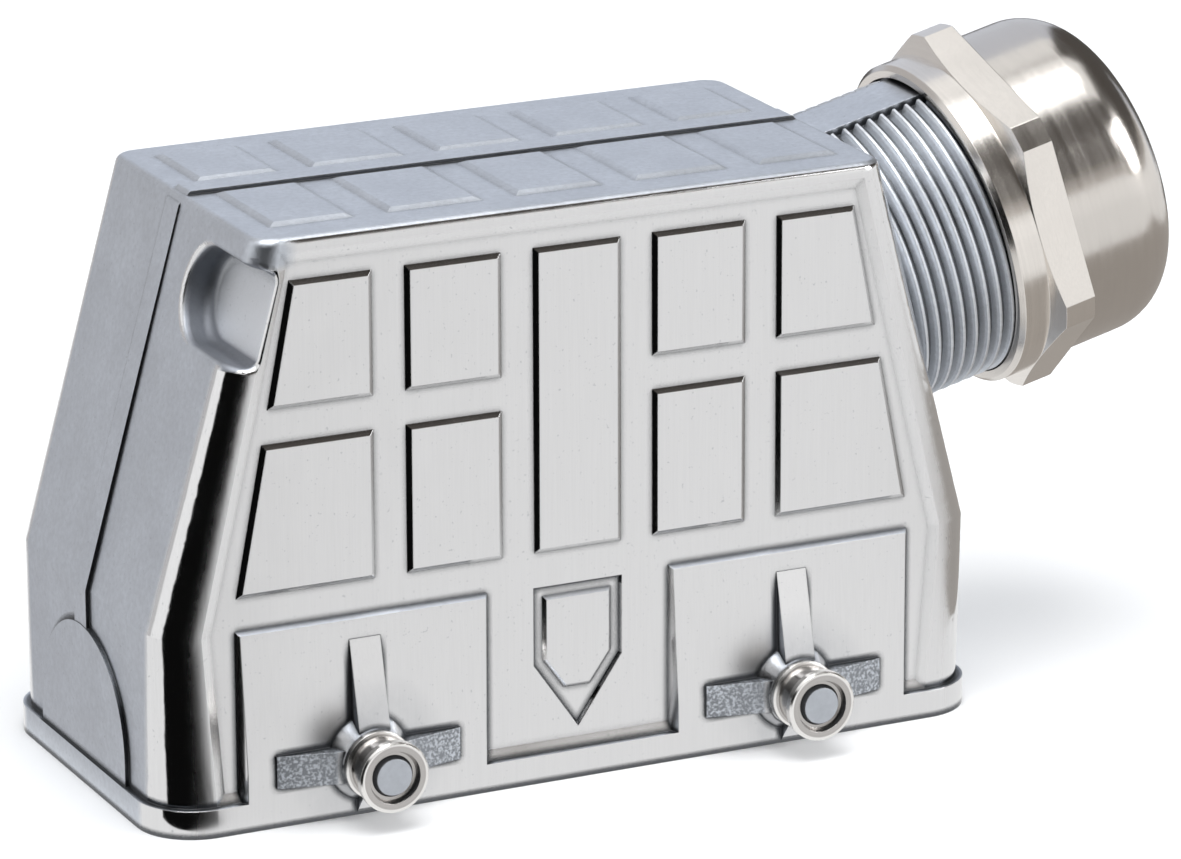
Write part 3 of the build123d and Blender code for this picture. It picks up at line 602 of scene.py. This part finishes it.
def casting_material(name, dull_colour, smooth_colour, everywhere_dull=False, crease_shade_depth=0.95):
    """Nickel on a die casting, with its dull, smooth and polished regions."""
    material, tree, output = node_material(name)
    place = add_node(tree, "ShaderNodeTexCoord").outputs["Object"]
    regions = casting_regions(tree, place, everywhere_dull)
    cloud = noise(tree, place, 0.18, detail=5.0)
    mottle = noise(tree, place, 1.6, detail=6.0)
    grain = noise(tree, place, 1.0, detail=3.0, stretch=(5.0, 5.0, 0.12))

    colour = base_tones(tree, regions, cloud, mottle, grain, dull_colour, smooth_colour)
    colour = wear_and_painted_shade(tree, regions, place, cloud, colour, dull_colour)
    # Painted shade in the creases, from an Ambient Occlusion lookup.
    colour = paint_crease_shade(tree, colour, shade(dull_colour, 0.14), crease_shade_depth)

    parts = [
        maths(tree, "MULTIPLY", regions["smooth"], smooth_roughness),
        maths(tree, "MULTIPLY", regions["dull"], dull_roughness),
        maths(tree, "MULTIPLY", regions["polished"], polished_roughness),
        between(tree, cloud, 0.3, 0.7, -0.02, 0.04),
        maths(tree, "MULTIPLY", regions["notch"], extra_in_notch),
    ]
    shine = parts[0]
    for part in parts[1:]:
        shine = maths(tree, "ADD", shine, part)

    rounded = add_node(tree, "ShaderNodeBevel", {"Radius": 0.15 * MM}, samples=4)
    skin = maths(tree, "MULTIPLY", mottle, regions["dull"])
    normal = bump(tree, skin, 0.07, 0.5, rounded.outputs[0])
    lines = maths(tree, "MULTIPLY", grain, regions["smooth"])
    normal = bump(tree, lines, 0.012, 0.5, normal)
    surface(tree, output, colour, shine, normal)
    return material


dull_nickel = (0.62, 0.655, 0.71)
smooth_nickel = (0.785, 0.785, 0.79)
dress("hood", casting_material("cast_nickel", dull_nickel, smooth_nickel))
print("nodes in the hood's material:", len(bpy.data.materials["cast_nickel"].node_tree.nodes))

# %% [markdown]
# The gland nut and the rollers are turned, so their fine marks run round the axis. A noise that
# changes quickly along the axis and not at all round it gives rings. The axis of the nut is
# tilted, so the place along it and the distance from it are worked out with vector maths. Up to
# a given radius the colour is darker. On the nut that is the turned dome and collar, next to its
# milled flats. On a roller it is painted shade in the neck, next to its bright flange.

# %% Turned nickel
ring_scale = 9.0


def vector_maths(tree, operation, first, second=None, scale=None):
    """Vector maths node on a vector and a second one or a scale, each a socket or fixed."""
    node = add_node(tree, "ShaderNodeVectorMath", operation=operation)
    feed(tree, node.inputs[0], first)
    if second is not None:
        feed(tree, node.inputs[1], second)
    if scale is not None:
        feed(tree, node.inputs["Scale"], scale)
    return node


def axis_coordinates(tree, place, origin, axis):
    """Distance along an axis and distance from it."""
    offset = vector_maths(tree, "SUBTRACT", place, origin).outputs[0]
    along = vector_maths(tree, "DOT_PRODUCT", offset, axis).outputs["Value"]
    on_axis = vector_maths(tree, "SCALE", axis, scale=along).outputs[0]
    outward = vector_maths(tree, "SUBTRACT", offset, on_axis).outputs[0]
    return along, vector_maths(tree, "LENGTH", outward).outputs["Value"]


def turned_material(name, colour, dark_colour, dark_radius, origin, axis, roughness, ring_depth):
    """Turned nickel with rings round an axis, darker inside a radius."""
    material, tree, output = node_material(name)
    place = add_node(tree, "ShaderNodeTexCoord").outputs["Object"]
    along, radius = axis_coordinates(tree, place, origin, axis)
    rings_at = add_node(tree, "ShaderNodeCombineXYZ")
    tree.links.new(along, rings_at.inputs[0])
    tree.links.new(radius, rings_at.inputs[1])
    rings = noise(tree, rings_at.outputs[0], ring_scale, detail=3.0)
    broad = noise(tree, rings_at.outputs[0], ring_scale / 8, detail=2.0)
    tarnish = noise(tree, place, 0.12, detail=5.0)

    marks = mix_colour(tree, between(tree, tarnish, 0.35, 0.7, 0.0, 0.5), colour, shade(colour, 0.86))
    marks = mix_colour(tree, between(tree, rings, 0.35, 0.65, 0.0, 0.3), marks, shade(colour, 0.80))
    # Darker inside a radius: a darker tone on the nut, painted shade in a roller's neck.
    turned = between(tree, radius, (dark_radius - 0.1) * MM, dark_radius * MM, 0.5, 0.0)
    marks = mix_colour(tree, turned, marks, dark_colour)
    shine = maths(tree, "ADD", between(tree, broad, 0.3, 0.7, -0.03, 0.04), roughness)
    rounded = add_node(tree, "ShaderNodeBevel", {"Radius": 0.10 * MM}, samples=4)
    surface(tree, output, marks, shine, bump(tree, rings, ring_depth, 0.5, rounded.outputs[0]))
    return material


outlet_tilt = radians(14.0)
outlet_origin = Vector((46.0, 0.0, 45.45)) * MM
outlet_axis = Vector((cos(outlet_tilt), 0.0, sin(outlet_tilt)))
nut_collar_radius = 17.95
nut_nickel = turned_material(
    "nut_nickel", (0.86, 0.82, 0.775), (0.57, 0.54, 0.51), nut_collar_radius,
    outlet_origin, outlet_axis, 0.19, 0.010,
)
dress("gland_cap_nut", nut_nickel)

roller_neck_shade_radius = 3.4
roller_axis = Vector((0, 1, 0))
rollers = [name for name in nodes if name.startswith("roller_")]
for name in rollers:
    low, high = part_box(name)
    # On a roller the near-black colour inside the neck radius is painted shade.
    roller_steel = turned_material(
        name + "_steel", (0.95, 0.935, 0.915), (0.12, 0.10, 0.09), roller_neck_shade_radius,
        (low + high) / 2, roller_axis, 0.22, 0.008,
    )
    dress(name, roller_steel)
print("turned pieces:", 1 + len(rollers))

# %% [markdown]
# Inside the hood are plain engineering materials: moulded plastic, rubber, silvered contacts
# and zinc-plated screws. They show only from below, but each gets a finish of its own. One
# function serves them all, because they differ only in colour, roughness and grain.

# %% Inner materials
def moulded_material(name, colour, roughness, grain_depth, metallic):
    """Even material with a faint cloud and a fine grain."""
    material, tree, output = node_material(name)
    place = add_node(tree, "ShaderNodeTexCoord").outputs["Object"]
    cloud = noise(tree, place, 0.25, detail=4.0)
    texture = noise(tree, place, 6.0, detail=3.0)
    tint = mix_colour(tree, between(tree, cloud, 0.3, 0.7), colour, shade(colour, 0.88))
    shine = between(tree, cloud, 0.3, 0.7, roughness - 0.04, roughness + 0.06)
    rounded = add_node(tree, "ShaderNodeBevel", {"Radius": 0.10 * MM}, samples=4)
    normal = bump(tree, texture, grain_depth, 0.6, rounded.outputs[0])
    surface(tree, output, tint, shine, normal, metallic)
    return material


screws = [
    "terminal_screws", "earth_plate_left", "earth_plate_right", "earth_clamps", "earth_screws",
    "fixing_screws", "fixing_washers",
]
inner_finishes = [
    ("carrier_grey", (0.46, 0.47, 0.45), 0.50, 0.02, 0.0, ["contact_carrier_front", "contact_carrier_rear"]),
    ("contact_silver", (0.86, 0.84, 0.78), 0.24, 0.004, 1.0, ["pin_contacts", "shield_contact_ring"]),
    ("screw_zinc", (0.62, 0.63, 0.62), 0.30, 0.006, 1.0, screws),
    ("cage_polyamide", (0.030, 0.031, 0.034), 0.42, 0.015, 0.0, ["clamping_cage", "press_ring"]),
    ("seal_rubber", (0.022, 0.022, 0.024), 0.62, 0.03, 0.0, ["sealing_sleeve"]),
]
for name, colour, roughness, grain_depth, metallic, members in inner_finishes:
    finish = moulded_material(name, colour, roughness, grain_depth, metallic)
    for member in members:
        dress(member, finish)
    print(name, "on", len(members), "pieces")

# %% [markdown]
# The outlet's thread is one long ridge wound round the root cylinder. It is cast, so it stops
# short at the two flats where the die halves meet. The ridge is swept by a loop: at each small
# step of angle a four-point section is set down, moved along the axis by its share of the pitch,
# and joined to the one before. A Screw modifier would be shorter, but it can't leave the flats
# open. Where a step lies on a flat, the strip is closed and starts again beyond it.

# %% Thread ridge
thread_pitch = 1.5 * MM
thread_root = 15.55 * MM
thread_crest = 16.5 * MM
crest_on_top = 0.86 * MM
thread_start = crest_on_top - 7 * thread_pitch
thread_end = 15.0 * MM
steps_round = 72
flat_height = 16.1 * MM
flat_angle = sqrt(thread_crest ** 2 - flat_height ** 2) / flat_height
across = Vector((0, 1, 0))
upright = outlet_axis.cross(across)
ridge_foot, ridge_top = 0.66 * MM, 0.14 * MM
section = [(-ridge_foot, 0.0), (-ridge_top, 1.0), (ridge_top, 1.0), (ridge_foot, 0.0)]


def section_at(mesh, turn):
    """The four points of the ridge's section after some turns."""
    angle = 2 * pi * turn + pi / 2
    spoke = across * cos(angle) + upright * sin(angle)
    station = thread_start + thread_pitch * turn
    return [
        mesh.verts.new(
            outlet_origin + outlet_axis * (station + shift)
            + spoke * (thread_root + rise * (thread_crest - thread_root))
        )
        for shift, rise in section
    ]


def on_flat(turn):
    """Whether the ridge crosses one of the two flats after some turns."""
    return abs(cos(2 * pi * turn + pi / 2)) <= sin(flat_angle)


def thread_mesh():
    """The ridge, in strips with closed ends between the flats."""
    mesh = bmesh.new()
    turns = (thread_end - thread_start) / thread_pitch
    earlier = None
    for step in range(int(turns * steps_round) + 1):
        turn = step / steps_round
        ring = None if on_flat(turn) else section_at(mesh, turn)
        if ring and earlier:
            for k in range(len(ring) - 1):
                mesh.faces.new((earlier[k], earlier[k + 1], ring[k + 1], ring[k]))
        elif ring:
            mesh.faces.new(ring[::-1])
        elif earlier:
            mesh.faces.new(earlier)
        earlier = ring
    if earlier:
        mesh.faces.new(earlier)
    bmesh.ops.recalc_face_normals(mesh, faces=mesh.faces)
    return mesh


ridge = thread_mesh()
thread_data = bpy.data.meshes.new("outlet_thread")
ridge.to_mesh(thread_data)
print("thread faces:", len(ridge.faces))
ridge.free()

# %% [markdown]
# The ridge is shaded smooth except at its crest, and gets the casting's finish in its dull form
# and a lighter tone, with only a little painted crease shade in the grooves. It belongs to the
# hood, so it rides on the hood's body.

# %% Thread finish
sharp_above = radians(40)
thread_nickel = (0.76, 0.79, 0.835)
thread_data.shade_smooth()
thread_data.set_sharp_from_angle(angle=sharp_above)
thread_data.materials.append(
    casting_material("cast_thread", thread_nickel, smooth_nickel, everywhere_dull=True, crease_shade_depth=0.35)
)
thread = bpy.data.objects.new("outlet_thread", thread_data)
bpy.context.scene.collection.objects.link(thread)
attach(thread, "hood_body")
print("materials:", len(bpy.data.materials))
